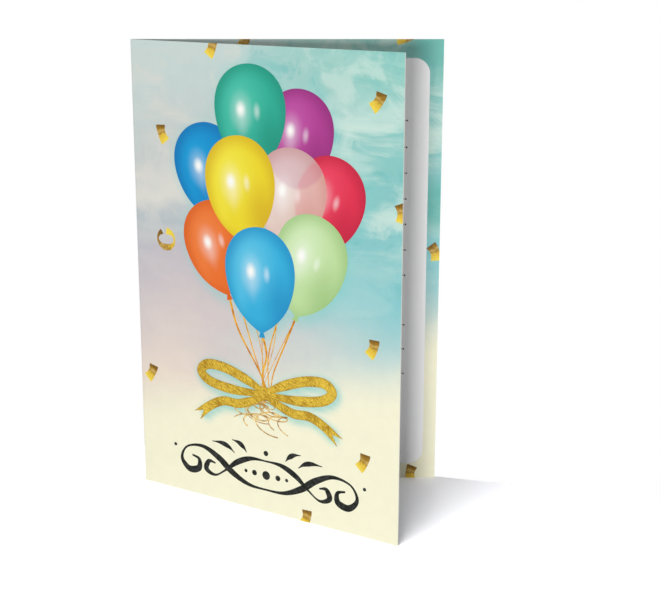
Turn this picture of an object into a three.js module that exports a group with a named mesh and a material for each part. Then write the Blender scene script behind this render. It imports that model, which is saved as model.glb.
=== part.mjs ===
// A folded invitation card. It is one sheet of coated board, creased across its middle,
// folded with the print outwards, and standing part open on its lower cut edge.
// Millimetres, +Z up. The fold is at -X, the mouth at +X, and the front cover faces -Y.
// The origin is on the table, under the middle of the card's footprint.

import * as THREE from "three";

// Driving dimensions
const PANEL_WIDTH = 100; // spine to free edge of the closed card
const PANEL_HEIGHT = 150; // length of the fold
const BOARD = 0.35; // thickness of 300 g/m2 coated board
const OPENING_DEGREES = 33; // angle between the two panels as the card stands

// The crease
const BEND_RADIUS = 0.3; // from the middle of the bend to the inner face of each panel
const BEAD_VALLEY = 0.1; // width of the valley on each side of the bead inside the fold
const CHANNEL_DEPTH = 0.04; // how far the creasing rule pressed the spine below the covers
const CHANNEL_SHOULDER = 0.3; // run over which each cover drops to the spine

const CURVE_SEGMENTS = 10; // straight pieces in a shoulder, and half of those in an arc

const BOARD_COLOUR = 0xbcd9d0; // mean colour of the printed sky
const BOARD_ROUGHNESS = 0.5; // satin coating

const halfOpening = THREE.MathUtils.degToRad(OPENING_DEGREES / 2);
const outerFace = BEND_RADIUS + BOARD; // from the middle of the bend to a cover's outer face
const spineRadius = outerFace - CHANNEL_DEPTH;
const beadRadius = BEND_RADIUS - BEAD_VALLEY;
const panelReach = PANEL_WIDTH - spineRadius; // from the middle of the bend to the free edge

const FRONT = -1; // the panel on the -Y side
const BACK = 1; // the panel on the +Y side

// A point of the section, from the middle of the bend: along the panel, then out from it
// square to its face.
function onPanel(panel, along, out) {
  return new THREE.Vector2(
    along * Math.cos(halfOpening) - out * Math.sin(halfOpening),
    panel * (along * Math.sin(halfOpening) + out * Math.cos(halfOpening)),
  );
}

// The direction that is square to a panel, as an angle in the section.
function squareTo(panel) {
  return panel * (Math.PI / 2 + halfOpening);
}

function lineTo(section, point) {
  section.lineTo(point.x, point.y);
}

// The half-round floor of the valley between a panel's inner face and the bead.
function addValley(section, panel) {
  const middle = onPanel(panel, 0, (BEND_RADIUS + beadRadius) / 2);
  const outwards = squareTo(panel);
  const inwards = outwards + Math.PI;
  const [start, end] = panel === FRONT ? [outwards, inwards] : [inwards, outwards];
  section.absarc(middle.x, middle.y, BEAD_VALLEY / 2, start, end, true);
}

// The smooth drop between a cover's outer face and the spine, at its end on the face or
// on the spine, whichever the outline reaches last.
function addShoulder(section, panel, ends) {
  const [from, to] = ends;
  const middle = CHANNEL_SHOULDER / 2;
  const leave = onPanel(panel, middle, from.out);
  const arrive = onPanel(panel, middle, to.out);
  const end = onPanel(panel, to.along, to.out);
  section.bezierCurveTo(leave.x, leave.y, arrive.x, arrive.y, end.x, end.y);
}

// The cut end of the folded sheet, as seen from above. Everything about the fold is an
// arc round the middle of the bend or tangent to one: the pressed spine outside, and
// inside it the bead of board that the crease has pushed up between the panels.
function foldedSection() {
  const faceEnd = { along: CHANNEL_SHOULDER, out: outerFace };
  const spineEnd = { along: 0, out: spineRadius };
  const section = new THREE.Shape();

  const start = onPanel(FRONT, panelReach, BEND_RADIUS);
  section.moveTo(start.x, start.y);
  lineTo(section, onPanel(FRONT, 0, BEND_RADIUS));
  addValley(section, FRONT);
  section.absarc(0, 0, beadRadius, squareTo(FRONT), squareTo(BACK), false);
  addValley(section, BACK);
  lineTo(section, onPanel(BACK, panelReach, BEND_RADIUS));

  lineTo(section, onPanel(BACK, panelReach, outerFace));
  lineTo(section, onPanel(BACK, faceEnd.along, faceEnd.out));
  addShoulder(section, BACK, [faceEnd, spineEnd]);
  section.absarc(0, 0, spineRadius, squareTo(BACK), 2 * Math.PI + squareTo(FRONT), false);
  addShoulder(section, FRONT, [spineEnd, faceEnd]);
  lineTo(section, onPanel(FRONT, panelReach, outerFace));
  section.closePath();
  return section;
}

function makeFoldedCard() {
  const geometry = new THREE.ExtrudeGeometry(foldedSection(), {
    depth: PANEL_HEIGHT,
    bevelEnabled: false,
    curveSegments: CURVE_SEGMENTS,
  });
  const board = new THREE.MeshStandardMaterial({
    color: BOARD_COLOUR,
    roughness: BOARD_ROUGHNESS,
    metalness: 0,
  });
  const card = new THREE.Mesh(geometry, board);
  card.name = "folded_card";

  const spineX = -spineRadius;
  const mouthX = onPanel(BACK, panelReach, BEND_RADIUS).x;
  card.position.x = -(spineX + mouthX) / 2; // the footprint's middle comes to the origin
  return card;
}

const invitationCard = new THREE.Group();
invitationCard.add(makeFoldedCard());

export default invitationCard;
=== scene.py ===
"""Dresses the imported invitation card: printed board, the motifs on its faces, and a plain studio."""

import math

import bmesh
import bpy
import numpy as np
from mathutils import Matrix, Vector
from mathutils.geometry import interpolate_bezier


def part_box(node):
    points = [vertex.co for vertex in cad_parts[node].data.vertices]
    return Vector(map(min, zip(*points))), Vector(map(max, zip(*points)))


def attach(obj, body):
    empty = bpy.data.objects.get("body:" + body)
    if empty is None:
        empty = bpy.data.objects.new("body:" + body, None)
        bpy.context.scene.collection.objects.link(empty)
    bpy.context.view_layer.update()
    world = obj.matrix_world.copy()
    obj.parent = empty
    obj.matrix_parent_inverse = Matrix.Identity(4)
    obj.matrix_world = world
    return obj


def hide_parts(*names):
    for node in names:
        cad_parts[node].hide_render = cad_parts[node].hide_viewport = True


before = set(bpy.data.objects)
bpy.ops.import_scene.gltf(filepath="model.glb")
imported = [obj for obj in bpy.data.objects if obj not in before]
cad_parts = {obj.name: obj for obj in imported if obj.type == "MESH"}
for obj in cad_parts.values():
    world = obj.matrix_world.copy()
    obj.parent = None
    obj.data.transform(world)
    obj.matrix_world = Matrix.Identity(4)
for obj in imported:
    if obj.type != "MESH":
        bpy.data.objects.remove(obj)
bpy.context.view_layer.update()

# The sheet, in millimetres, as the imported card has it
MM = 0.001
PANEL_WIDTH = 100
PANEL_HEIGHT = 150
BOARD = 0.35
BEND_RADIUS = 0.3
CHANNEL_DEPTH = 0.04
OPENING_DEGREES = 33

OUTER_FACE = BEND_RADIUS + BOARD
SPINE_RADIUS = OUTER_FACE - CHANNEL_DEPTH
HALF_OPENING = math.radians(OPENING_DEGREES / 2)
CARD_NODE = "folded_card"

# Ink stands a hair above the board, each layer over the one before it
INK_SUNK = 0.01
INK_FIRST = 0.016
INK_STEP = 0.012
INK_ROUGHNESS = 0.45
INK_GLOSS = 0.25

# Strokes of one film that cross: how many layers each lies above the last, and climbs on its way
STRINGS_APART = 0.1
CURLS_APART, CURL_CLIMB = 0.15, 1.2
BRUSH_APART, BRUSH_CLIMB = 0.3, 0.8
FLAKES_APART = 0.1

# Pattern coordinates on the sheet run in these units, so one unit is a decimetre
SHEET_UNIT = 100

card_low, card_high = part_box(CARD_NODE)
bend = Vector((card_low.x + SPINE_RADIUS * MM, 0, 0))

COS_HALF = math.cos(HALF_OPENING)
SIN_HALF = math.sin(HALF_OPENING)


# Colour and shader helpers

def linear(code):
    """An sRGB hex colour as the linear colour that a shader socket takes."""
    parts = [int(code[i:i + 2], 16) / 255 for i in (1, 3, 5)]
    levels = [c / 12.92 if c <= 0.04045 else ((c + 0.055) / 1.055) ** 2.4 for c in parts]
    return (*levels, 1)


def add_node(tree, kind, settings=None, inputs=None, stops=()):
    """Adds one shader node, sets its properties, fills or links its inputs, colours its ramp."""
    made = tree.nodes.new(kind)
    for name, value in (settings or {}).items():
        setattr(made, name, value)
    for socket, value in (inputs or {}).items():
        if isinstance(value, bpy.types.NodeSocket):
            tree.links.new(value, made.inputs[socket])
        else:
            made.inputs[socket].default_value = value
    if stops:
        elements = made.color_ramp.elements
        while len(elements) < len(stops):
            elements.new(1)
        for element, (position, code) in zip(elements, stops):
            element.position = position
            element.color = linear(code)
    return made


def new_material(name):
    """An empty node material and its tree."""
    material = bpy.data.materials.new(name)
    material.use_nodes = True
    material.node_tree.nodes.clear()
    return material, material.node_tree


def finish_ink(tree, colour):
    """The surface that all the printing inks share: flat on the board, with a soft satin gloss."""
    shader = add_node(
        tree, "ShaderNodeBsdfPrincipled", None,
        {"Base Color": colour, "Roughness": INK_ROUGHNESS, "Specular IOR Level": INK_GLOSS},
    ).outputs["BSDF"]
    add_node(tree, "ShaderNodeOutputMaterial", None, {"Surface": shader})


def strength_within(tree, strength, *spans):
    """How strongly a paint takes. A span is a value, with where the paint starts and is full."""
    for value, (start, full) in spans:
        inside = add_node(
            tree, "ShaderNodeMapRange", {"interpolation_type": "SMOOTHSTEP"},
            {"Value": value, "From Min": start, "From Max": full},
        ).outputs["Result"]
        strength = add_node(
            tree, "ShaderNodeMath", {"operation": "MULTIPLY"}, {0: inside, 1: strength}
        ).outputs["Value"]
    return strength


def paint_over(tree, under, paint, strength, *spans):
    """Lays one paint over another, within its spans."""
    factor = strength_within(tree, strength, *spans)
    return add_node(
        tree, "ShaderNodeMix", {"data_type": "RGBA"}, {0: factor, 6: under, 7: paint}
    ).outputs[2]


def per_sheet(size):
    """Noise scale, in sheet units, for features of a size in millimetres."""
    return SHEET_UNIT / size


def per_metre(size):
    """Noise scale, in object coordinates, for features of a size in millimetres."""
    return 1 / (size * MM)


def add_object(name, data):
    """Puts a new object in the scene."""
    made = bpy.data.objects.new(name, data)
    bpy.context.scene.collection.objects.link(made)
    return made


def add_form(name, form, materials):
    """Makes an object of a finished bmesh, with its materials in the order of their slots."""
    mesh = bpy.data.meshes.new(name)
    form.to_mesh(mesh)
    form.free()
    for material in materials:
        mesh.materials.append(material)
    return add_object(name, mesh)


# Places on the card

def page(right, out, face):
    """The matrix from a page's own millimetres to the row frame.

    x runs to the reader's right from the spine, y up from the lower edge, z out of the paper.
    """
    up = Vector((0, 0, 1))
    axes = Matrix((right, up, out)).transposed().to_4x4()
    corner = bend + (out * face - right * SPINE_RADIUS) * MM
    return Matrix.Translation(corner) @ axes @ Matrix.Scale(MM, 4)


FRONT_COVER = page(
    Vector((COS_HALF, -SIN_HALF, 0)),
    Vector((-SIN_HALF, -COS_HALF, 0)),
    OUTER_FACE,
)
INSIDE_RIGHT = page(
    Vector((COS_HALF, SIN_HALF, 0)),
    Vector((SIN_HALF, -COS_HALF, 0)),
    -BEND_RADIUS,
)


# Ink films: flat shapes in page millimetres, then given their thin body

def new_film():
    """A bmesh whose points carry the motif's own coordinates for its shader."""
    film = bmesh.new()
    film.verts.layers.float_vector.new("motif")
    return film


def top_of(level):
    return INK_FIRST + level * INK_STEP


def add_disc(film, middle, radius, level, segments=8):
    """A round spot of ink."""
    coords = film.verts.layers.float_vector["motif"]
    made = bmesh.ops.create_circle(film, cap_ends=True, segments=segments, radius=1)
    for v in made["verts"]:
        v[coords] = v.co
        v.co = Vector((middle[0] + radius * v.co.x, middle[1] + radius * v.co.y, top_of(level)))


def smooth_route(points, steps=10):
    """A smooth curve through chosen points, as many closer points."""
    ends = [Vector(p) for p in points]
    spare = [ends[0] * 2 - ends[1], *ends, ends[-1] * 2 - ends[-2]]
    route = []
    for before, start, end, after in zip(spare, spare[1:], spare[2:], spare[3:]):
        leave = start + (end - before) / 6
        arrive = end - (after - start) / 6
        route += interpolate_bezier(start, leave, arrive, end, steps + 1)[:-1]
    return route + [ends[-1]]


def place_on(route, share):
    """The point and direction at a share of the way along a route."""
    last = len(route) - 1
    at = min(max(share, 0), 1) * last
    first = min(int(at), last - 1)
    point = route[first].lerp(route[first + 1], at - first)
    before = route[max(first - 1, 0)]
    after = route[min(first + 2, last)]
    return point, (after - before).normalized()


def add_stroke(film, route, width, level, climb=0, fork=0, rows=1):
    """A band of ink along a route. width is a function of the share of the way along.

    climb lifts the far end by that many layers, where a band crosses itself, and fork is the
    share of the band that a notch cuts into its far end. The motif's coordinates are the
    share along, the share across from -1 to 1, and the millimetres along.
    """
    coords = film.verts.layers.float_vector["motif"]
    length = sum((after - before).length for before, after in zip(route, route[1:]))
    made = bmesh.ops.create_grid(film, x_segments=len(route) - 1, y_segments=rows, size=0.5)
    for v in made["verts"]:
        across = v.co.y * 2
        along = (v.co.x + 0.5) * (1 - fork * (1 - abs(across)))
        point, heading = place_on(route, along)
        aside = Vector((-heading.y, heading.x)) * (across * width(along) / 2)
        v[coords] = Vector((along, across, along * length))
        v.co = Vector((point.x + aside.x, point.y + aside.y, top_of(level + climb * along)))


TRIM_TOLERANCE = 1e-5


def trim_to_page(film):
    """Cuts off what runs past the paper's edges."""
    cuts = (
        ((0, 0, 0), (-1, 0, 0)),
        ((PANEL_WIDTH, 0, 0), (1, 0, 0)),
        ((0, 0, 0), (0, -1, 0)),
        ((0, PANEL_HEIGHT, 0), (0, 1, 0)),
    )
    for point, outwards in cuts:
        everything = film.verts[:] + film.edges[:] + film.faces[:]
        bmesh.ops.bisect_plane(
            film, geom=everything, dist=TRIM_TOLERANCE, plane_co=point, plane_no=outwards,
            clear_outer=True,
        )


def lay_film(film, name, on_page, material):
    """Gives flat ink shapes their thin body and lays them on a page as one piece."""
    tops = film.faces[:]
    made = bmesh.ops.extrude_face_region(film, geom=tops, use_keep_orig=True)
    for v in made["geom"]:
        if isinstance(v, bmesh.types.BMVert):
            v.co.z = -INK_SUNK
    bmesh.ops.recalc_face_normals(film, faces=film.faces[:])
    bmesh.ops.transform(film, matrix=on_page, verts=film.verts[:])
    piece = add_form(name, film, [material])
    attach(piece, "root")


# The bunch of balloons

KNOT = Vector((51, 40.5))
TAPER = 0.2
WIDEST = 1.02
DRAWN_TAIL = 0.55
LEAN_SHARE = 0.75

# Each balloon, from the back of the bunch to its front: middle, size and the tones of its ink
BALLOON_KEYS = ("name", "middle", "size", "base", "light", "dark")
BALLOON_ROWS = [
    ("magenta", (64, 122.5), (24.5, 31), "#ad3c8e", "#c65aab", "#86276f"),
    ("blue", (30, 110), (25, 31.5), "#0c88c6", "#17a2d8", "#0c66a8"),
    ("crimson", (74.5, 103.5), (24.5, 31), "#e0304e", "#ee4c68", "#b51c3b"),
    ("orange", (33, 86), (24.5, 31), "#ea702a", "#f08746", "#cf5712"),
    ("teal", (46.5, 128), (26.5, 33), "#2eab93", "#52c8af", "#168770"),
    ("blush", (61, 104), (25.5, 32.5), "#e1c8bd", "#eeddd5", "#cc9e8d"),
    ("yellow", (42.5, 105.5), (26.5, 34), "#ecd72a", "#f5ea4c", "#cf9f1c"),
    ("green", (67.5, 84), (26, 33.5), "#c0dfa0", "#daf0c4", "#93bd74"),
    ("sky", (49.5, 77.5), (26.5, 34), "#34b0db", "#68cbe8", "#1480bb"),
]
BALLOONS = [dict(zip(BALLOON_KEYS, row)) for row in BALLOON_ROWS]

by_name = {balloon["name"]: balloon for balloon in BALLOONS}
by_name["blush"]["shows"] = [by_name["magenta"], by_name["crimson"]]

for order, balloon in enumerate(BALLOONS):
    down = KNOT - Vector(balloon["middle"])
    balloon["lean"] = LEAN_SHARE * math.atan2(down.x, -down.y)
    balloon["level"] = 2 + order
    half_high = balloon["size"][1] / 2
    balloon["tail"] = Vector(balloon["middle"]) + half_high * Vector(
        (math.sin(balloon["lean"]), -math.cos(balloon["lean"]))
    )

# The rolled neck, in millimetres, and how far its top is tucked under the balloon
NECK_HEIGHT = 1.8
NECK_WIDTH = 1.1
NECK_FLARE = 2.3
NECK_TUCK = 0.3

# Light and shade on a balloon: middle and reach of each spot, in half sizes of the balloon
LIT_SIDE = ((-0.25, 0.3), (0.95, 0.95))
SHADED_SIDE = ((0.6, -0.5), (0.75, 0.95))
BOUNCED_LIGHT = ((-0.55, -0.3), (0.3, 0.6))
GLINT_HAZE = ((-0.24, 0.12), (0.42, 0.5))
GLINT_TRAIL = ((-0.22, -0.12), (0.22, 0.42))
SMALL_GLINT = ((0.2, 0.13), (0.13, 0.21))
GLINT = ((-0.25, 0.16), (0.19, 0.21))
RIM = (0.68, 1.08)


def outline_width(height, round_width):
    """A balloon's half width at a height, from that of a circle: fuller above, pointed below."""
    pointed = round_width ** (1 + DRAWN_TAIL * max(0, -height) ** 2)
    return pointed * (1 + TAPER * height) / WIDEST


def balloon_film(balloon):
    """One balloon: a circle drawn in towards its tail, with the rolled neck under it."""
    film = new_film()
    coords = film.verts.layers.float_vector["motif"]
    half_size = Vector((balloon["size"][0] / 2, balloon["size"][1] / 2, 1))
    turn = Matrix.Rotation(balloon["lean"], 4, "Z")
    middle = Vector((*balloon["middle"], 0))

    body = bmesh.ops.create_circle(film, cap_ends=True, segments=120, radius=1)
    for v in body["verts"]:
        v.co.x = outline_width(v.co.y, abs(v.co.x)) * math.copysign(1, v.co.x)
        v[coords] = v.co
        v.co = middle + turn @ Vector((v.co.x * half_size.x, v.co.y * half_size.y, 0))
        v.co.z = top_of(balloon["level"])

    neck = bmesh.ops.create_grid(film, x_segments=1, y_segments=1, size=0.5)
    for v in neck["verts"]:
        width = NECK_WIDTH if v.co.y > 0 else NECK_FLARE
        low = -half_size.y + NECK_TUCK - NECK_HEIGHT * (0.5 - v.co.y)
        v[coords] = Vector((v.co.x * 0.1, -1.02, 0))  # the tone of the rim's lower end
        v.co = middle + turn @ Vector((v.co.x * width, low, 0))
        v.co.z = top_of(balloon["level"] - 0.5)
    return film


def balloon_ink(balloon):
    """Photographic print of a latex balloon: it gives a soft lit side, a dense rim and two
    window-like glints, all within flat ink."""
    material, tree = new_material("balloon_" + balloon["name"] + "_ink_printed")
    motif = add_node(tree, "ShaderNodeAttribute", {"attribute_name": "motif"}).outputs["Vector"]

    def spot(middle, reach, full=0):
        """The span of a place on the balloon, which ends at its reach in x and y. full is the
        share of the reach that takes all of the paint."""
        shifted = add_node(
            tree, "ShaderNodeVectorMath", {"operation": "SUBTRACT"}, {0: motif, 1: (*middle, 0)}
        ).outputs["Vector"]
        scaled = add_node(
            tree, "ShaderNodeVectorMath", {"operation": "DIVIDE"}, {0: shifted, 1: (*reach, 1)}
        ).outputs["Vector"]
        distance = add_node(
            tree, "ShaderNodeVectorMath", {"operation": "LENGTH"}, {0: scaled}
        ).outputs["Value"]
        return distance, (1, full)

    def seen_through(other):
        """Where another balloon behind this one shows faintly through its thin latex."""
        apart = Vector(other["middle"]) - Vector(balloon["middle"])
        apart.rotate(Matrix.Rotation(-balloon["lean"], 2))
        half = Vector(balloon["size"]) / 2
        reach = (other["size"][0] / 2 / half.x, other["size"][1] / 2 / half.y)
        return spot((apart.x / half.x, apart.y / half.y), reach, full=0.9)

    from_middle = add_node(
        tree, "ShaderNodeVectorMath", {"operation": "LENGTH"}, {0: motif}
    ).outputs["Value"]

    # Each layer: where it lies, how strong it is, and its colour
    layers = (
        (spot(*LIT_SIDE), 0.8, balloon["light"]),
        ((from_middle, RIM), 0.6, balloon["dark"]),
        (spot(*SHADED_SIDE), 0.6, balloon["dark"]),
        (spot(*BOUNCED_LIGHT), 0.3, balloon["light"]),
        *((seen_through(other), 0.24, other["base"]) for other in balloon.get("shows", [])),
        (spot(*GLINT_HAZE), 0.3, "#ffffff"),
        (spot(*GLINT_TRAIL), 0.1, "#ffffff"),
        (spot(*SMALL_GLINT), 0.4, "#ffffff"),
        (spot(*GLINT), 1.0, "#fffef8"),
    )
    colour = linear(balloon["base"])
    for span, strength, code in layers:
        colour = paint_over(tree, colour, linear(code), strength, span)
    finish_ink(tree, colour)
    return material


# Gold: the noise levels where its deep colour gives way to the bright one
FINE_WEIGHT = 0.75
GOLD_TONES = (0.6, 1.15)


def gold_ink(name, bright, deep, grain, streak):
    """Gold foil as offset print renders it: crumpled bright and brown patches, no true metal."""
    material, tree = new_material(name)
    place = add_node(tree, "ShaderNodeTexCoord").outputs["Object"]
    fine = add_node(
        tree, "ShaderNodeTexNoise", None,
        {"Vector": place, "Scale": per_metre(grain), "Detail": 4.0, "Roughness": 0.7},
    ).outputs["Fac"]
    broad = add_node(
        tree, "ShaderNodeTexNoise", None,
        {"Vector": place, "Scale": per_metre(streak), "Detail": 2.0, "Distortion": 0.6},
    ).outputs["Fac"]
    both = add_node(
        tree, "ShaderNodeMath", {"operation": "MULTIPLY_ADD"}, {0: fine, 1: FINE_WEIGHT, 2: broad}
    ).outputs["Value"]
    finish_ink(tree, paint_over(tree, linear(deep), linear(bright), 1, (both, GOLD_TONES)))
    return material


# The ribbon's foil, in millimetres: how far apart its creases, glitter and sheens are
CREASE_SPACING = 0.6
CREASE_SLANT = 1.3
GLITTER_SIZE = 0.3
SHEEN_SIZE = 5

# Its colours, the noise levels between the first two, and the border across its half width
RIBBON_DEEP, RIBBON_BRIGHT, RIBBON_BORDER = "#a1760c", "#eecb48", "#a37615"
RIBBON_TONES = (0.78, 1.3)
BORDER_ACROSS, BORDER_STRENGTH = (0.6, 1), 0.4


def ribbon_ink():
    """Crumpled foil ribbon in print: slanting creases, a fine glitter and broad sheens give the
    gold its life, and darker borders make the band look raised."""
    material, tree = new_material("foil_ribbon_ink_printed")
    motif = add_node(tree, "ShaderNodeAttribute", {"attribute_name": "motif"}).outputs["Vector"]
    axes = add_node(tree, "ShaderNodeSeparateXYZ", None, {0: motif}).outputs
    slanted = add_node(
        tree, "ShaderNodeMath", {"operation": "MULTIPLY_ADD"},
        {0: axes["Y"], 1: CREASE_SLANT, 2: axes["Z"]},
    ).outputs["Value"]
    across = add_node(
        tree, "ShaderNodeMath", {"operation": "MULTIPLY"}, {0: axes["Y"], 1: 0.9}
    ).outputs["Value"]
    crease_place = add_node(
        tree, "ShaderNodeCombineXYZ", None, {0: slanted, 1: across}
    ).outputs["Vector"]
    creases = add_node(
        tree, "ShaderNodeTexNoise", {"noise_dimensions": "2D"},
        {"Vector": crease_place, "Scale": 1 / CREASE_SPACING, "Detail": 4.0, "Roughness": 0.6,
         "Distortion": 0.8},
    ).outputs["Fac"]
    place = add_node(tree, "ShaderNodeTexCoord").outputs["Object"]
    both = creases
    for size, detail, weight in ((GLITTER_SIZE, 2.0, 0.6), (SHEEN_SIZE, 1.0, 0.5)):
        noise = add_node(
            tree, "ShaderNodeTexNoise", None,
            {"Vector": place, "Scale": per_metre(size), "Detail": detail},
        ).outputs["Fac"]
        both = add_node(
            tree, "ShaderNodeMath", {"operation": "MULTIPLY_ADD"}, {0: noise, 1: weight, 2: both}
        ).outputs["Value"]
    aside = add_node(
        tree, "ShaderNodeMath", {"operation": "ABSOLUTE"}, {0: axes["Y"]}
    ).outputs["Value"]
    colour = paint_over(
        tree, linear(RIBBON_DEEP), linear(RIBBON_BRIGHT), 1, (both, RIBBON_TONES)
    )
    colour = paint_over(
        tree, colour, linear(RIBBON_BORDER), BORDER_STRENGTH, (aside, BORDER_ACROSS)
    )
    finish_ink(tree, colour)
    return material


# A flake's tones from its shaded end to its lit one, and the grain that breaks up their borders
FLAKE_GRAIN, GRAIN_SHIFT = 0.9, 0.5
FLAKE_TONES = [
    (0.05, "#7d5a17"), (0.24, "#a47c28"), (0.34, "#cfae62"), (0.46, "#a8802a"), (0.6, "#e0ba3e"),
    (0.95, "#f3d84e"),
]


def flake_ink():
    """Foil flakes in print: each fades from a shaded brown end to a bright lit one."""
    material, tree = new_material("foil_flake_ink_printed")
    motif = add_node(tree, "ShaderNodeAttribute", {"attribute_name": "motif"}).outputs["Vector"]
    along = add_node(tree, "ShaderNodeSeparateXYZ", None, {0: motif}).outputs["X"]
    place = add_node(tree, "ShaderNodeTexCoord").outputs["Object"]
    grain = add_node(
        tree, "ShaderNodeTexNoise", None,
        {"Vector": place, "Scale": per_metre(FLAKE_GRAIN), "Detail": 3.0},
    ).outputs["Fac"]
    shifted = add_node(
        tree, "ShaderNodeMath", {"operation": "MULTIPLY_ADD"}, {0: grain, 1: GRAIN_SHIFT, 2: along}
    ).outputs["Value"]
    place_along = add_node(
        tree, "ShaderNodeMath", {"operation": "SUBTRACT"}, {0: shifted, 1: GRAIN_SHIFT / 2}
    ).outputs["Value"]
    colour = add_node(
        tree, "ShaderNodeValToRGB", None, {"Fac": place_along}, FLAKE_TONES
    ).outputs["Color"]
    finish_ink(tree, colour)
    return material


# The bow, as routes of its left half from the knot; the right half mirrors them
RIBBON_WIDTH = 3.4
BOW_LOOP = [
    (0, 0.2), (-7, 3.4), (-15.5, 6.0), (-22.5, 6.2), (-25.4, 3.4), (-21.5, 0.4), (-12, -0.8),
    (0, -0.2),
]
BOW_TAIL = [(0.5, -0.4), (-4.5, -3.0), (-10.5, -5.2), (-16.5, -5.4), (-22, -8.0), (-27.5, -12.4)]
KNOT_BAND = [(-1.9, 0.5), (0, 0.1), (1.9, 0.4)]
TAIL_FORK = 0.1
RIGHT_HALF_TURN = 0.05

# The ribbon's width at the knot, as a share, and how soon a loop or tail reaches its full width
AT_KNOT = 0.5
LOOP_FULL_AT = 0.16
TAIL_FULL_AT = 0.3
TAIL_FULL = 0.42
TAIL_SPREAD_FROM = 0.8
TAIL_SPREAD = 0.12
KNOT_WIDTH = 4.3
KNOT_BULGE = 0.6


def loop_width(share):
    """A loop is drawn together at the knot, where it starts and ends."""
    near_knot = min(share, 1 - share)
    return RIBBON_WIDTH * (AT_KNOT + (1 - AT_KNOT) * min(near_knot / LOOP_FULL_AT, 1))


def tail_width(share):
    """A tail opens out from the knot and spreads a little at its cut end."""
    opened = TAIL_FULL * min(share / TAIL_FULL_AT, 1)
    spread = TAIL_SPREAD * max(0, share - TAIL_SPREAD_FROM) / (1 - TAIL_SPREAD_FROM)
    return RIBBON_WIDTH * (AT_KNOT + opened + spread)


def knot_width(share):
    return KNOT_WIDTH + KNOT_BULGE * math.cos(math.pi * (share - 0.5) * 2)


# Each half's bands: points, width, ink layer, how much higher on the right, climb and fork
HALF_BOW = (
    (BOW_TAIL, tail_width, 3, 0.5, 0, TAIL_FORK),
    (BOW_LOOP, loop_width, 4.5, 1.5, 1, 0),
)
KNOT_LEVEL = 8


def bow_routes():
    """Every band of the bow as (route, width, level, climb, fork)."""
    bands = []
    for side in (1, -1):
        right = side < 0
        turn = Matrix.Rotation(RIGHT_HALF_TURN * right, 2)
        for points, width, level, higher, climb, fork in HALF_BOW:
            route = smooth_route([KNOT + turn @ Vector((side * x, y)) for x, y in points], 12)
            bands.append((route, width, level + higher * right, climb, fork))
    knot = smooth_route([KNOT + Vector(p) for p in KNOT_BAND], 6)
    bands.append((knot, knot_width, KNOT_LEVEL, 0, 0))
    return bands


# Each string's width at its balloon, the share that it loses on its way, and how far it sways
STRING_WIDTHS = [0.45, 0.75, 0.4, 0.9, 0.5, 0.7, 0.4, 0.75, 0.9]
STRING_LOSS = 0.55
STRING_SWAY = 1.3


def narrowing(wide, loss):
    """A width that has lost a share of itself at the far end, as strings do when gathered."""
    def width(share):
        return wide * (1 - loss * share)
    return width


def string_routes():
    """A thin string from each balloon's tail to the knot."""
    routes = []
    for order, balloon in enumerate(BALLOONS):
        start = balloon["tail"]
        sway = (order % 3 - 1) * STRING_SWAY
        near = start.lerp(KNOT, 0.35) + Vector((sway, 0))
        far = start.lerp(KNOT, 0.72) + Vector((-0.6 * sway, 0))
        end = KNOT + Vector(((order * 5 % 9 - 4) * 0.5, 1.0))
        routes.append(smooth_route([start, near, far, end], 10))
    return routes


# Curled ends of the strings, flat rings that drift away below the knot. Each curl has its drift,
# number of rings, radius, first angle and width.
CURLS = [
    ((-10.0, -5.0), 1.8, 5.6, 1.4, 0.45),
    ((-4.5, -8.5), 2.2, 5.4, 2.9, 0.45),
    ((6.5, -8.0), 1.7, 5.8, -0.4, 0.4),
    ((10.5, -9.0), 1.3, 4.6, 2.4, 0.35),
    ((-9.0, -8.5), 1.4, 4.8, 0.1, 0.35),
    ((2.5, -10.0), 1.5, 6.6, 2.2, 0.4),
    ((-2.0, -6.0), 1.3, 7.4, 3.6, 0.3),
]
CURL_START = Vector((-0.5, -2.4))
CURL_STEPS = 80
CURL_FLATNESS = 0.42


def curl_route(drift, rings, wide_radius, first_angle):
    """A curl opens to its full radius over the first 70% of its length, and tightens again."""
    route = []
    for i in range(CURL_STEPS + 1):
        share = i / CURL_STEPS
        angle = first_angle + share * rings * 2 * math.pi
        opened = math.sin(math.pi * min(share * 1.4, 1) * 0.5)
        radius = wide_radius * opened * (1.1 - 0.4 * share)
        ring = Vector((math.cos(angle), CURL_FLATNESS * math.sin(angle))) * radius
        route.append(KNOT + CURL_START + Vector(drift) * share + ring)
    return route


# The pen flourish: scrolls that mirror each other on both sides of its middle
FLOURISH_MIDDLE = Vector((51, 12.6))
FLOURISH_COLOUR = "#10140e"
SCROLLS = [
    {"half": [(0, -5.0), (7, -4.6), (13.5, -1.8), (19, 2.2), (25.5, 4.9), (32, 3.6), (34.4, -0.8),
              (31.4, -4.2), (27.4, -3.2), (27.2, 0), (30, 1.0)],
     "thin": 0.7, "thick": 2.4, "swells": 4},
    {"half": [(0, 4.9), (6, 4.6), (11.5, 2.2), (16, -1.4), (20.5, -4.2), (24.2, -2.8), (23, 0.2),
              (20.4, 0)],
     "thin": 0.6, "thick": 2.0, "swells": 4},
]
LEAVES = [
    [(12.5, 5.2), (14.8, 6.9), (17.8, 7.7), (21.5, 7.6)],
    [(7.6, 6.4), (8.9, 8.0), (10.8, 9.2), (13.4, 9.7)],
]
LEAF_THIN, LEAF_THICK = 0.3, 1.7
FLOURISH_DOTS = [
    ((0, 7.6), 0.9), ((0, 0), 1.5), ((-4.6, 0), 0.95), ((4.6, 0), 0.95), ((-8, 0), 0.6),
    ((8, 0), 0.6), ((37, 3.4), 0.6), ((-37, 3.4), 0.6),
]


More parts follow.
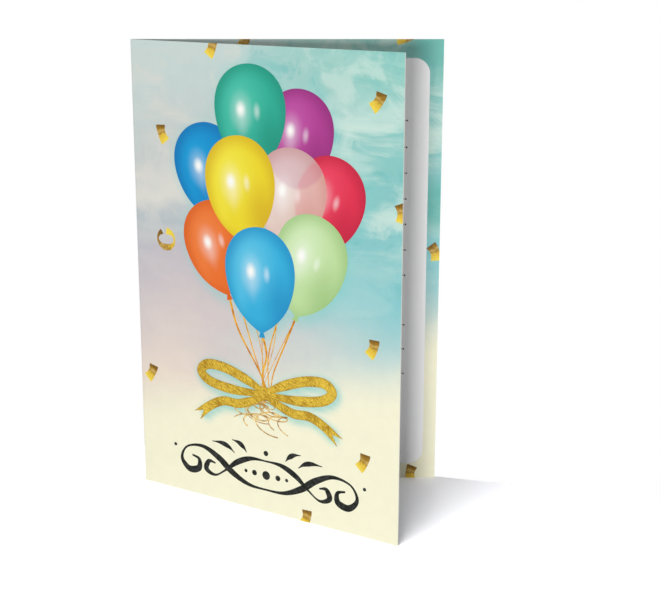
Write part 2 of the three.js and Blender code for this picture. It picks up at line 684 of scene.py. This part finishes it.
def swelling(thin, thick, swells):
    """A soft brush: it swells a number of times on its way and is thin in between."""
    def width(share):
        return thin + (thick - thin) * math.sin(math.pi * swells * share) ** 2
    return width


def flourish_routes():
    """Each stroke of the flourish as (route, width)."""
    strokes = []
    for scroll in SCROLLS:
        half = scroll["half"]
        points = [(-x, y) for x, y in reversed(half[1:])] + half
        route = smooth_route([FLOURISH_MIDDLE + Vector(p) for p in points], 8)
        strokes.append((route, swelling(scroll["thin"], scroll["thick"], scroll["swells"])))
    for leaf in LEAVES:
        for side in (-1, 1):
            route = smooth_route([FLOURISH_MIDDLE + Vector((side * x, y)) for x, y in leaf], 8)
            strokes.append((route, swelling(LEAF_THIN, LEAF_THICK, 1)))
    return strokes


# Foil flakes: place of the middle, turn in degrees, and how far the flake is bent
FLAKE_LENGTH = 5.6
FLAKE_WIDTH = 3.6
FLAKE_STEPS = 8
COVER_FLAKES = [
    (32, 148.8, 250, 0.4), (91, 136, 235, 0.45), (12.5, 121, 290, -0.4), (99.2, 104, 275, 0.4),
    (90, 62, 250, 0.45), (4.2, 40, 240, 0.4), (87, 25, 245, 0.45), (66, 1.4, 255, 0.4),
]
RING_MIDDLE = Vector((12.5, 86.5))
RING_RADIUS = 3.4
RING_ARC = (118, 448)
RING_STEPS = 36
RING_FLATNESS = 0.8
RING_THIN, RING_BROAD = 0.7, 2.2
INSIDE_FLAKES = [
    (87.5, 151.0, 200, 0.4), (98.0, 80, 290, 0.4), (92.0, 1.6, 265, -0.4), (35, 148.6, 240, 0.5),
    (5.4, 117, 280, 0.4), (6, 31, 255, -0.5), (52, 1.5, 250, 0.5),
]


def flake_route(x, y, degrees, bend_by):
    """The bent middle line of a flake, as an arc."""
    middle = Vector((x, y))
    heading = math.radians(degrees)
    route = []
    for i in range(FLAKE_STEPS + 1):
        t = i / FLAKE_STEPS - 0.5
        ahead = Vector((math.cos(heading), math.sin(heading))) * (t * FLAKE_LENGTH)
        rise = bend_by * FLAKE_LENGTH * (0.25 - t * t)
        aside = Vector((-math.sin(heading), math.cos(heading))) * rise
        route.append(middle + ahead + aside)
    return route


def flake_width(share):
    return FLAKE_WIDTH * (0.92 + 0.08 * math.cos(2 * math.pi * share))


def ring_route():
    """A flake that has curled into an open ring, seen from a little above."""
    start, end = (math.radians(a) for a in RING_ARC)
    route = []
    for i in range(RING_STEPS + 1):
        angle = start + (end - start) * i / RING_STEPS
        aside = Vector((math.cos(angle), RING_FLATNESS * math.sin(angle)))
        route.append(RING_MIDDLE + aside * RING_RADIUS)
    return route


def ring_width(share):
    """Broad at the front and back of the ring, and thin where it is seen on edge."""
    angle = math.radians(RING_ARC[0] + (RING_ARC[1] - RING_ARC[0]) * share)
    return RING_THIN + (RING_BROAD - RING_THIN) * math.sin(angle) ** 2


# The pale halo round the printed motifs: how far it reaches, in millimetres, and how strongly
GLOW_REACH = 4
BALLOON_GLOW = 0.6
BOW_GLOW_REACH = 2.8
GLOW_SHIFT = np.array((0.7, -0.8))
GLOW_STRENGTH = 0.7
GLOW_COLOUR = "#86d0ca"


def glow_at(points):
    """How strongly the print's soft halo shows at each of many (x, y) points, from 0 to 1.
    Like a drop shadow it lies a little to the lower right of the motifs."""
    points = points - GLOW_SHIFT
    nearest = np.full(len(points), np.inf)
    for balloon in BALLOONS:
        away = points - np.array(balloon["middle"])
        c, s = math.cos(-balloon["lean"]), math.sin(-balloon["lean"])
        half_wide, half_high = balloon["size"][0] / 2, balloon["size"][1] / 2
        x = (away[:, 0] * c - away[:, 1] * s) / half_wide
        y = (away[:, 0] * s + away[:, 1] * c) / half_high
        drawn_in = (1 + TAPER * np.clip(y, -1, 1)) / WIDEST
        distance = (np.hypot(x / drawn_in, y) - 1) * half_wide
        nearest = np.minimum(nearest, distance)
    balloon_glow = (1 - np.clip(nearest / GLOW_REACH, 0, 1)) ** 2
    nearest = np.full(len(points), np.inf)
    for route, width, _, _, fork in bow_routes():
        for i, point in enumerate(route):
            share = i / (len(route) - 1)
            if share < 1 - fork:
                away = np.hypot(points[:, 0] - point.x, points[:, 1] - point.y)
                nearest = np.minimum(nearest, away - width(share) / 2)
    bow_glow = (1 - np.clip(nearest / BOW_GLOW_REACH, 0, 1)) ** 2
    return np.maximum(BALLOON_GLOW * balloon_glow, bow_glow)


# The printed board

# The wash's colours up the sheet, beside the fold and by the free edge
WASH_LEFT = [
    (0.24, "#eadccd"), (0.36, "#dacdc9"), (0.5, "#c4bfc5"), (0.575, "#b6bfc4"), (0.61, "#bfc6c7"),
    (0.65, "#dedcd4"), (0.76, "#c8cecb"), (0.95, "#c5d7d3"),
]
WASH_RIGHT = [
    (0.36, "#c9d9d4"), (0.45, "#abd2d1"), (0.53, "#8acace"), (0.7, "#87c6c4"), (0.92, "#8ecbc1"),
]
WASH_CREAM = "#f6f3d6"
WASH_CLOUD_LEFT = "#dad9d1"
WASH_CLOUD_RIGHT = "#cfe7dc"
WASH_DEEP = "#67bcb9"
WASH_DEEP_INSIDE = "#62b6ab"

# The sizes of its clouds, in millimetres, and the way its streaks lie
DRIFT_SIZE = 50
STREAK_SIZE = 12
PATCH_SIZE = 15
MOTTLE_SIZE = 4.5
MOTTLE_DEPTH = 0.015
STREAK_ORIGIN = (0.31, 0.17, 0)
STREAK_TURN = (0, 0, math.radians(-24))
STREAK_STRETCH = (0.3, 1, 1)
INSIDE_CLOUDS_LOWER = 0.14
CREAM_SLANT = 0.24

# Where each paint starts and where it is full: across and up the sheet in decimetres, as a
# share of the height, or as a level of the noise that gives the clouds
SIDE_BLEND = (0.22, 0.86)
DEEP_ACROSS, DEEP_UP, DEEP_PATCHES = (0.2, 0.65), (0.62, 0.95), (0.46, 0.3)
PALE_UP, PALE_PATCHES = (0.8, 1.0), (0.5, 0.66)
BELT_LOWER, BELT_UPPER, STREAKS = (0.8, 1.08), (1.5, 1.25), (0.42, 0.66)
TOP_BAND = (0.85, 0.95)
MIDDLE_BAND_LOWER, MIDDLE_BAND_UPPER = (0.56, 0.62), (0.72, 0.66)
MARGIN = (0.86, 0.94)
CREAM_BORDER = (0.4, 0.2)


def sky_wash(tree, sheet):
    """The watercolour wash: grey mint to turquoise above, blush at the left, cream below."""
    axes = add_node(tree, "ShaderNodeSeparateXYZ", None, {0: sheet}).outputs
    lower = add_node(tree, "ShaderNodeCombineXYZ", None, {1: axes["Z"]}).outputs["Vector"]
    cloud_place = add_node(
        tree, "ShaderNodeVectorMath", {"operation": "MULTIPLY_ADD"},
        {0: lower, 1: (0, INSIDE_CLOUDS_LOWER, 0), 2: sheet},
    ).outputs["Vector"]
    streak_place = add_node(
        tree, "ShaderNodeMapping", {"vector_type": "POINT"},
        {"Vector": cloud_place, "Location": STREAK_ORIGIN, "Rotation": STREAK_TURN,
         "Scale": STREAK_STRETCH},
    ).outputs["Vector"]

    # Each noise: its place, the size of its clouds, its detail, roughness and distortion
    noises = (
        (sheet, DRIFT_SIZE, 4.0, 0.55, 0.0),
        (streak_place, STREAK_SIZE, 6.0, 0.6, 0.4),
        (cloud_place, PATCH_SIZE, 6.0, 0.62, 0.5),
        (sheet, MOTTLE_SIZE, 4.0, 0.6, 0.0),
    )
    drift_noise, streaks, patches, mottles = (
        add_node(
            tree, "ShaderNodeTexNoise", {"noise_dimensions": "2D"},
            {"Vector": place, "Scale": per_sheet(size), "Detail": detail, "Roughness": roughness,
             "Distortion": distortion},
        ).outputs["Fac"]
        for place, size, detail, roughness, distortion in noises
    )
    drift = add_node(
        tree, "ShaderNodeMath", {"operation": "SUBTRACT"}, {0: drift_noise, 1: 0.5}
    ).outputs["Value"]

    def wandering(value, amount):
        """A coordinate pushed about by the broad noise, so that no border runs straight."""
        return add_node(
            tree, "ShaderNodeMath", {"operation": "MULTIPLY_ADD"}, {0: drift, 1: amount, 2: value}
        ).outputs["Value"]

    away = add_node(
        tree, "ShaderNodeMath", {"operation": "ABSOLUTE"}, {0: axes["X"]}
    ).outputs["Value"]
    share_up = add_node(
        tree, "ShaderNodeMath", {"operation": "MULTIPLY"},
        {0: axes["Y"], 1: SHEET_UNIT / PANEL_HEIGHT},
    ).outputs["Value"]
    left, right = (
        add_node(
            tree, "ShaderNodeValToRGB", None, {"Fac": wandering(share_up, amount)}, stops
        ).outputs["Color"]
        for stops, amount in ((WASH_LEFT, 0.25), (WASH_RIGHT, 0.15))
    )
    side = (wandering(away, 0.5), SIDE_BLEND)
    colour = paint_over(tree, left, right, 1, side)
    cloud = paint_over(tree, linear(WASH_CLOUD_LEFT), linear(WASH_CLOUD_RIGHT), 1, side)

    colour = paint_over(
        tree, colour, linear(WASH_DEEP), 0.6,
        (away, DEEP_ACROSS), (axes["Y"], DEEP_UP), (patches, DEEP_PATCHES),
    )
    colour = paint_over(tree, colour, cloud, 0.55, (patches, PALE_PATCHES), (axes["Y"], PALE_UP))

    belt = strength_within(tree, 0.7, (axes["Y"], BELT_LOWER), (axes["Y"], BELT_UPPER))
    cloudy = add_node(
        tree, "ShaderNodeMath", {"operation": "ADD"}, {0: belt, 1: 0.2}
    ).outputs["Value"]
    colour = paint_over(tree, colour, cloud, cloudy, (streaks, STREAKS))

    near_top = strength_within(tree, 0.75, (wandering(share_up, 0.2), TOP_BAND))
    near_middle = strength_within(
        tree, 0.75, (share_up, MIDDLE_BAND_LOWER), (share_up, MIDDLE_BAND_UPPER)
    )
    deep_bands = add_node(
        tree, "ShaderNodeMath", {"operation": "MAXIMUM"}, {0: near_top, 1: near_middle}
    ).outputs["Value"]
    bands_inside = add_node(
        tree, "ShaderNodeMath", {"operation": "MULTIPLY"}, {0: deep_bands, 1: axes["Z"]}
    ).outputs["Value"]
    colour = paint_over(tree, colour, linear(WASH_DEEP_INSIDE), bands_inside, (away, MARGIN))

    slanted = add_node(
        tree, "ShaderNodeMath", {"operation": "MULTIPLY_ADD"},
        {0: away, 1: -CREAM_SLANT, 2: wandering(axes["Y"], 0.12)},
    ).outputs["Value"]
    colour = paint_over(tree, colour, linear(WASH_CREAM), 1, (slanted, CREAM_BORDER))

    tone = add_node(
        tree, "ShaderNodeMapRange", None,
        {"Value": mottles, "From Min": 0.25, "From Max": 0.75,
         "To Min": 1 - MOTTLE_DEPTH, "To Max": 1 + MOTTLE_DEPTH},
    ).outputs["Result"]
    mottled = add_node(
        tree, "ShaderNodeCombineColor", None, {0: tone, 1: tone, 2: tone}
    ).outputs["Color"]
    return add_node(
        tree, "ShaderNodeMix", {"data_type": "RGBA", "blend_type": "MULTIPLY"},
        {0: 1.0, 6: colour, 7: mottled},
    ).outputs[2]


# Board and ink grain, in millimetres, and how matt the board is
FLOCK_SIZE = 7
RIPPLE_SIZE = 0.8
RIPPLE_DEPTH = 0.02
RIPPLE_STRENGTH = 0.05
FIBRE_SIZE = 0.25
INK_GRAIN = 1.1
COATED_ROUGHNESS = 0.5
CUT_ROUGHNESS = 0.85


def bare_white(tree, sheet):
    """Coated board without print: white, a little cloudy where its fibres lie in flocks."""
    flocks = add_node(
        tree, "ShaderNodeTexNoise", {"noise_dimensions": "2D"},
        {"Vector": sheet, "Scale": per_sheet(FLOCK_SIZE), "Detail": 3.0},
    ).outputs["Fac"]
    return add_node(
        tree, "ShaderNodeMix", {"data_type": "RGBA"},
        {0: flocks, 6: linear("#f3f3ef"), 7: linear("#fcfcf9")},
    ).outputs[2]


def coated_board(name, print_on_it, with_glow=False):
    """Satin-coated card stock, offset printed or bare: it gives an even, slightly soft sheen
    with a faint ripple of the coating."""
    material, tree = new_material(name)
    sheet = add_node(tree, "ShaderNodeAttribute", {"attribute_name": "sheet"}).outputs["Vector"]
    colour = print_on_it(tree, sheet)
    if with_glow:
        glow = add_node(tree, "ShaderNodeAttribute", {"attribute_name": "glow"}).outputs["Fac"]
        factor = add_node(
            tree, "ShaderNodeMath", {"operation": "MULTIPLY"}, {0: glow, 1: GLOW_STRENGTH}
        ).outputs["Value"]
        colour = paint_over(tree, colour, linear(GLOW_COLOUR), factor)
    ripple = add_node(
        tree, "ShaderNodeTexNoise", {"noise_dimensions": "2D"},
        {"Vector": sheet, "Scale": per_sheet(RIPPLE_SIZE), "Detail": 2.0},
    ).outputs["Fac"]
    bump = add_node(
        tree, "ShaderNodeBump", None,
        {"Strength": RIPPLE_STRENGTH, "Distance": RIPPLE_DEPTH * MM, "Height": ripple},
    ).outputs["Normal"]
    shader = add_node(
        tree, "ShaderNodeBsdfPrincipled", None,
        {"Base Color": colour, "Roughness": COATED_ROUGHNESS, "Specular IOR Level": INK_GLOSS,
         "Normal": bump},
    ).outputs["BSDF"]
    add_node(tree, "ShaderNodeOutputMaterial", None, {"Surface": shader})
    return material


def cut_board():
    """Guillotined board: the bare fibre core gives a matt, slightly warm white line."""
    material, tree = new_material("board_core_cut")
    place = add_node(tree, "ShaderNodeTexCoord").outputs["Object"]
    fibre = add_node(
        tree, "ShaderNodeTexNoise", None,
        {"Vector": place, "Scale": per_metre(FIBRE_SIZE), "Detail": 3.0},
    ).outputs["Fac"]
    colour = add_node(
        tree, "ShaderNodeMix", {"data_type": "RGBA"},
        {0: fibre, 6: linear("#efebdf"), 7: linear("#fdfbf4")},
    ).outputs[2]
    shader = add_node(
        tree, "ShaderNodeBsdfPrincipled", None, {"Base Color": colour, "Roughness": CUT_ROUGHNESS}
    ).outputs["BSDF"]
    add_node(tree, "ShaderNodeOutputMaterial", None, {"Surface": shader})
    return material


def plain_ink(name, code, wear):
    """Solid offset ink: even colour with a little of the paper showing through the grain."""
    material, tree = new_material(name)
    place = add_node(tree, "ShaderNodeTexCoord").outputs["Object"]
    grain = add_node(
        tree, "ShaderNodeTexNoise", None,
        {"Vector": place, "Scale": per_metre(INK_GRAIN), "Detail": 3.0},
    ).outputs["Fac"]
    tone = add_node(
        tree, "ShaderNodeMapRange", None,
        {"Value": grain, "From Min": 0.4, "From Max": 0.75, "To Min": 0, "To Max": wear},
    ).outputs["Result"]
    colour = add_node(
        tree, "ShaderNodeMix", {"data_type": "RGBA"},
        {0: tone, 6: linear(code), 7: linear("#ffffff")},
    ).outputs[2]
    finish_ink(tree, colour)
    return material


# The front cover's points, which carry the halo, and the two panels and their surfaces
GRID_CUTS = 99
FRONT, BACK = -1, 1
COVERS, INSIDE_BACK, INSIDE_FRONT, CUT_EDGE = range(4)
MERGE_DISTANCE = 1e-6
FLAT_ANGLE = 1e-3
SQUARE_ON = 0.9999


def where_on_sheet(point):
    """A point of the card as (panel, millimetres from the spine, distance out from the bend)."""
    x = (point.x - bend.x) / MM
    y = point.y / MM
    panel = FRONT if y < 0 else BACK
    along = x * COS_HALF + panel * y * SIN_HALF
    out = -x * SIN_HALF + panel * y * COS_HALF
    if along > 0:
        return panel, along + SPINE_RADIUS, out
    share = math.atan2(abs(y), -x) / (math.pi / 2 - HALF_OPENING)
    return panel, SPINE_RADIUS * min(share, 1), math.hypot(x, y)


def is_cut_edge(face):
    """The lower and upper ends and the free edges are where the guillotine went through."""
    at_free_end = face.calc_center_median().x > card_high.x - 1.2 * BOARD * MM
    return abs(face.normal.z) > 0.5 or (at_free_end and abs(face.normal.x) > 0.9)


def printed_card():
    """The folded sheet with its print: the CAD solid's own form, merged, with its coordinates."""
    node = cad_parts[CARD_NODE]
    card = bmesh.new()
    card.from_mesh(node.data)
    bmesh.ops.remove_doubles(card, verts=card.verts[:], dist=MERGE_DISTANCE)
    flat = [e for e in card.edges if e.is_manifold and e.calc_face_angle() < FLAT_ANGLE]
    diagonals = [e for e in flat if abs(e.link_faces[0].normal.z) < 0.5]
    bmesh.ops.dissolve_edges(card, edges=diagonals)

    outwards = Vector((-SIN_HALF, -COS_HALF, 0))
    facing = [f for f in card.faces if f.normal.dot(outwards) > SQUARE_ON]
    cover = max(facing, key=lambda f: f.calc_area())
    bmesh.ops.subdivide_edges(card, edges=cover.edges[:], cuts=GRID_CUTS, use_grid_fill=True)

    sheet = card.verts.layers.float_vector.new("sheet")
    glow = card.verts.layers.float.new("glow")
    middle_out = BEND_RADIUS + BOARD / 2
    places = [where_on_sheet(v.co) for v in card.verts]
    on_page = np.array([(u, v.co.z / MM) for (_, u, _), v in zip(places, card.verts)])
    halo = glow_at(on_page)
    for v, (panel, u, out), strength in zip(card.verts, places, halo):
        outside = out > middle_out
        across = -panel * u if outside else panel * u
        v[sheet] = Vector((across / SHEET_UNIT, v.co.z / MM / SHEET_UNIT, 0 if outside else 1))
        v[glow] = float(strength) if outside and panel == FRONT else 0.0

    for f in card.faces:
        panel, _, out = where_on_sheet(f.calc_center_median())
        if is_cut_edge(f):
            f.material_index = CUT_EDGE
        elif out > middle_out:
            f.material_index = COVERS
        else:
            f.material_index = INSIDE_BACK if panel == BACK else INSIDE_FRONT

    piece = add_form("folded_card_printed", card, [
        coated_board("coated_board_cover_printed", sky_wash, True),
        coated_board("coated_board_inside_printed", sky_wash),
        coated_board("coated_board_inside_bare", bare_white),
        cut_board(),
    ])
    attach(piece, "root")
    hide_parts(CARD_NODE)
    return piece


# The writing panel inside
WRITING_LEFT, WRITING_RIGHT = 5, 95.7
WRITING_BOTTOM, WRITING_TOP = 5.3, 144.1
WRITING_CORNER = 5.2
DOT_DIAMETER = 0.6
DOT_PITCH = 0.8
LINES_FROM_TOP = [26.0, 34.7, 43.2, 51.8, 60.3, 69.0, 77.6, 94.8, 103.3, 112.0]
LINE_START = 30
LINE_END = 88.5


def writing_panel():
    """A white field with round corners: a circle whose quarters are moved apart."""
    film = new_film()
    to_left, to_bottom = WRITING_LEFT + WRITING_CORNER, WRITING_BOTTOM + WRITING_CORNER
    to_right, to_top = WRITING_RIGHT - WRITING_CORNER, WRITING_TOP - WRITING_CORNER
    made = bmesh.ops.create_circle(film, cap_ends=True, segments=48, radius=WRITING_CORNER)
    for v in made["verts"]:
        v.co.x += to_right if v.co.x > 0 else to_left
        v.co.y += to_top if v.co.y > 0 else to_bottom
        v.co.z = top_of(0)
    return film


def writing_dots():
    film = new_film()
    count = int((LINE_END - LINE_START) / DOT_PITCH)
    for from_top in LINES_FROM_TOP:
        for i in range(count + 1):
            middle = (LINE_END - i * DOT_PITCH, PANEL_HEIGHT - from_top)
            add_disc(film, middle, DOT_DIAMETER / 2, 1)
    return film


def lay_flakes(name, on_page, flakes, level, ink, ring=False):
    """All the foil flakes of one page, cut off where they run past its edges."""
    film = new_film()
    for order, flake in enumerate(flakes):
        add_stroke(film, flake_route(*flake), flake_width, level + FLAKES_APART * order)
    if ring:
        add_stroke(film, ring_route(), ring_width, level, climb=1)
    trim_to_page(film)
    lay_film(film, name, on_page, ink)


def print_cover(foil):
    """Every motif on the front cover, from the lowest ink to the highest."""
    for balloon in BALLOONS:
        name = "balloon_" + balloon["name"]
        lay_film(balloon_film(balloon), name, FRONT_COVER, balloon_ink(balloon))

    strings = new_film()
    for order, (route, wide) in enumerate(zip(string_routes(), STRING_WIDTHS)):
        add_stroke(strings, route, narrowing(wide, STRING_LOSS), STRINGS_APART * order)
    string_ink = gold_ink("string_gold_ink_printed", "#f6bf3c", "#c4730f", 0.9, 5)
    lay_film(strings, "balloon_strings", FRONT_COVER, string_ink)

    curls = new_film()
    for order, (*curl, wide) in enumerate(CURLS):
        level = CURLS_APART * order
        add_stroke(curls, curl_route(*curl), narrowing(wide, 0), level, CURL_CLIMB)
    curl_ink = gold_ink("curl_gold_ink_printed", "#f0cf80", "#9c6614", 1.0, 2.5)
    lay_film(curls, "curled_string_ends", FRONT_COVER, curl_ink)

    bow = new_film()
    for route, width, level, climb, fork in bow_routes():
        add_stroke(bow, route, width, level, climb, fork, rows=2)
    lay_film(bow, "ribbon_bow", FRONT_COVER, ribbon_ink())

    flourish = new_film()
    for order, (route, width) in enumerate(flourish_routes()):
        add_stroke(flourish, route, width, BRUSH_APART * order, BRUSH_CLIMB)
    for middle, radius in FLOURISH_DOTS:
        add_disc(flourish, FLOURISH_MIDDLE + Vector(middle), radius, 0, segments=24)
    brush_ink = plain_ink("brush_ink_printed", FLOURISH_COLOUR, 0.04)
    lay_film(flourish, "pen_flourish", FRONT_COVER, brush_ink)

    lay_flakes("foil_flakes_cover", FRONT_COVER, COVER_FLAKES, 0, foil, ring=True)


def print_inside(foil):
    """The right inside page: the white field, its dotted lines and the flakes."""
    white_ink = plain_ink("white_field_printed", "#fdfdfd", 0.0)
    lay_film(writing_panel(), "writing_panel", INSIDE_RIGHT, white_ink)
    black_ink = plain_ink("black_ink_printed", "#26282a", 0.05)
    lay_film(writing_dots(), "writing_dots", INSIDE_RIGHT, black_ink)
    lay_flakes("foil_flakes_inside", INSIDE_RIGHT, INSIDE_FLAKES, 2, foil)


# The studio: lamp levels, degrees round from the front, and metres. The floor's back edge and
# drop are in millimetres.
AMBIENT = 0.275
SOFTBOX_DISTANCE = 2
SOFTBOX_SIZE = (0.364, 0.24)
KEY_LEVEL = 0.685
KEY_AZIMUTH = 5.0
BACK_LEVEL = 0.55
BACK_AZIMUTH = 190
EDGE_LEVEL = 0.16
EDGE_AZIMUTH = 110
FLOOR_LAMP_LEVEL = 0.79
FLOOR_LAMP_AZIMUTH = -15
FLOOR_LAMP_ELEVATION = 45
FLOOR_LAMP_SPREAD = 38
FLOOR_SIZE = 3
FLOOR_BACK = 29.6
FLOOR_DROP = 0.02
FLOOR_GAIN = 1.1
FLOOR_COOL = 1.04
FLOOR_WHITE = 0.415


def towards(azimuth, elevation=0):
    """The direction to a lamp: degrees round from the front, and up from the floor."""
    turn, rise = math.radians(azimuth), math.radians(elevation)
    ahead = math.cos(rise)
    return Vector((math.sin(turn) * ahead, -math.cos(turn) * ahead, math.sin(rise)))


def hang(lamp, direction, place=(0, 0, 0)):
    """Puts a lamp in the scene, facing back along its direction."""
    holder = add_object(lamp.name, lamp)
    holder.location = place
    holder.rotation_euler = direction.to_track_quat("Z", "Y").to_euler()
    return holder


def add_softbox(name, level, azimuth, aim):
    """A low soft box on the floor; at level 1 it lights white to white where it falls square."""
    lamp = bpy.data.lights.new(name, "AREA")
    lamp.shape = "RECTANGLE"
    lamp.size, lamp.size_y = SOFTBOX_SIZE
    lamp.energy = level * math.pi ** 2 * SOFTBOX_DISTANCE ** 2
    direction = towards(azimuth)
    middle_up = Vector((0, 0, SOFTBOX_SIZE[1] / 2))
    return hang(lamp, direction, aim + direction * SOFTBOX_DISTANCE + middle_up)


def lights_only(holder, thing):
    """Keeps a lamp's light off everything but one thing. All pieces still cast its shadow."""
    lit = bpy.data.collections.new("lit_by_" + holder.name)
    lit.objects.link(thing)
    holder.light_linking.receiver_collection = lit


def add_floor_lamp(floor):
    """A broad lamp from the front left that lights only the floor, for the card's soft shadow."""
    lamp = bpy.data.lights.new("floor_lamp", "SUN")
    lamp.energy = FLOOR_LAMP_LEVEL * math.pi / math.sin(math.radians(FLOOR_LAMP_ELEVATION))
    lamp.angle = math.radians(FLOOR_LAMP_SPREAD)
    lights_only(hang(lamp, towards(FLOOR_LAMP_AZIMUTH, FLOOR_LAMP_ELEVATION)), floor)


def studio_world():
    """White all round for the eye and in reflections, and a softer white as light."""
    world = bpy.data.worlds.new("studio")
    bpy.context.scene.world = world
    world.use_nodes = True
    tree = world.node_tree
    tree.nodes.clear()
    rays = add_node(tree, "ShaderNodeLightPath").outputs
    seen = rays["Is Camera Ray"]
    for ray in ("Is Transmission Ray", "Is Glossy Ray"):
        seen = add_node(
            tree, "ShaderNodeMath", {"operation": "MAXIMUM"}, {0: seen, 1: rays[ray]}
        ).outputs["Value"]
    strength = add_node(
        tree, "ShaderNodeMapRange", None, {"Value": seen, "To Min": AMBIENT, "To Max": 1.0}
    ).outputs["Result"]
    shader = add_node(
        tree, "ShaderNodeBackground", None, {"Color": (1, 1, 1, 1), "Strength": strength}
    ).outputs["Background"]
    add_node(tree, "ShaderNodeOutputWorld", None, {"Surface": shader})


def floor_paper():
    """White paper that looks pure white to the eye wherever the card's shadow doesn't reach."""
    material, tree = new_material("studio_floor_matt_white")
    rays = add_node(tree, "ShaderNodeLightPath").outputs
    level = add_node(
        tree, "ShaderNodeMapRange", None,
        {"Value": rays["Is Camera Ray"], "To Min": FLOOR_WHITE, "To Max": FLOOR_GAIN},
    ).outputs["Result"]
    cooler = add_node(
        tree, "ShaderNodeMath", {"operation": "MULTIPLY"}, {0: level, 1: FLOOR_COOL}
    ).outputs["Value"]
    colour = add_node(
        tree, "ShaderNodeCombineColor", None, {0: level, 1: level, 2: cooler}
    ).outputs["Color"]
    shader = add_node(tree, "ShaderNodeBsdfDiffuse", None, {"Color": colour}).outputs["BSDF"]
    add_node(tree, "ShaderNodeOutputMaterial", None, {"Surface": shader})
    return material


def studio_floor():
    """The floor ends just behind the card, where the white backdrop takes over."""
    form = bmesh.new()
    bmesh.ops.create_grid(form, x_segments=1, y_segments=1, size=FLOOR_SIZE / 2)
    place = Vector((0, FLOOR_BACK * MM - FLOOR_SIZE / 2, -FLOOR_DROP * MM))
    bmesh.ops.translate(form, vec=place, verts=form.verts[:])
    floor = add_form("floor", form, [floor_paper()])
    return floor


# The camera: its place in millimetres, and its turns in degrees
CAMERA_PLACE = Vector((129.30, -400.96, 179.34))
CAMERA_TURN = 15.505
CAMERA_DOWN = 14.651
CAMERA_ROLL = 0.095
LENS_LENGTH = 73.234
SENSOR_WIDTH = 36


def studio_camera():
    """The photograph's camera, fitted to the card's corners."""
    data = bpy.data.cameras.new("camera")
    data.sensor_width = SENSOR_WIDTH
    data.lens = LENS_LENGTH
    data.clip_start = 0.01
    camera = add_object("camera", data)
    turn = Matrix.Rotation(math.radians(CAMERA_TURN), 4, "Z")
    pitch = Matrix.Rotation(math.radians(90 - CAMERA_DOWN), 4, "X")
    roll = Matrix.Rotation(math.radians(CAMERA_ROLL), 4, "Z")
    place = Matrix.Translation(CAMERA_PLACE * MM)
    camera.matrix_world = place @ turn @ pitch @ roll
    bpy.context.scene.camera = camera


foil = flake_ink()
card = printed_card()
print_cover(foil)
print_inside(foil)
studio_world()
floor = studio_floor()
add_floor_lamp(floor)
add_softbox("key_softbox", KEY_LEVEL, KEY_AZIMUTH, Vector((card_high.x, card_low.y, 0)))
edge_softbox = add_softbox("edge_softbox", EDGE_LEVEL, EDGE_AZIMUTH, Vector((card_high.x, 0, 0)))
lights_only(edge_softbox, card)
add_softbox("back_softbox", BACK_LEVEL, BACK_AZIMUTH, Vector((0, 0, 0)))
studio_camera()
bpy.context.scene.view_settings.view_transform = "Standard"
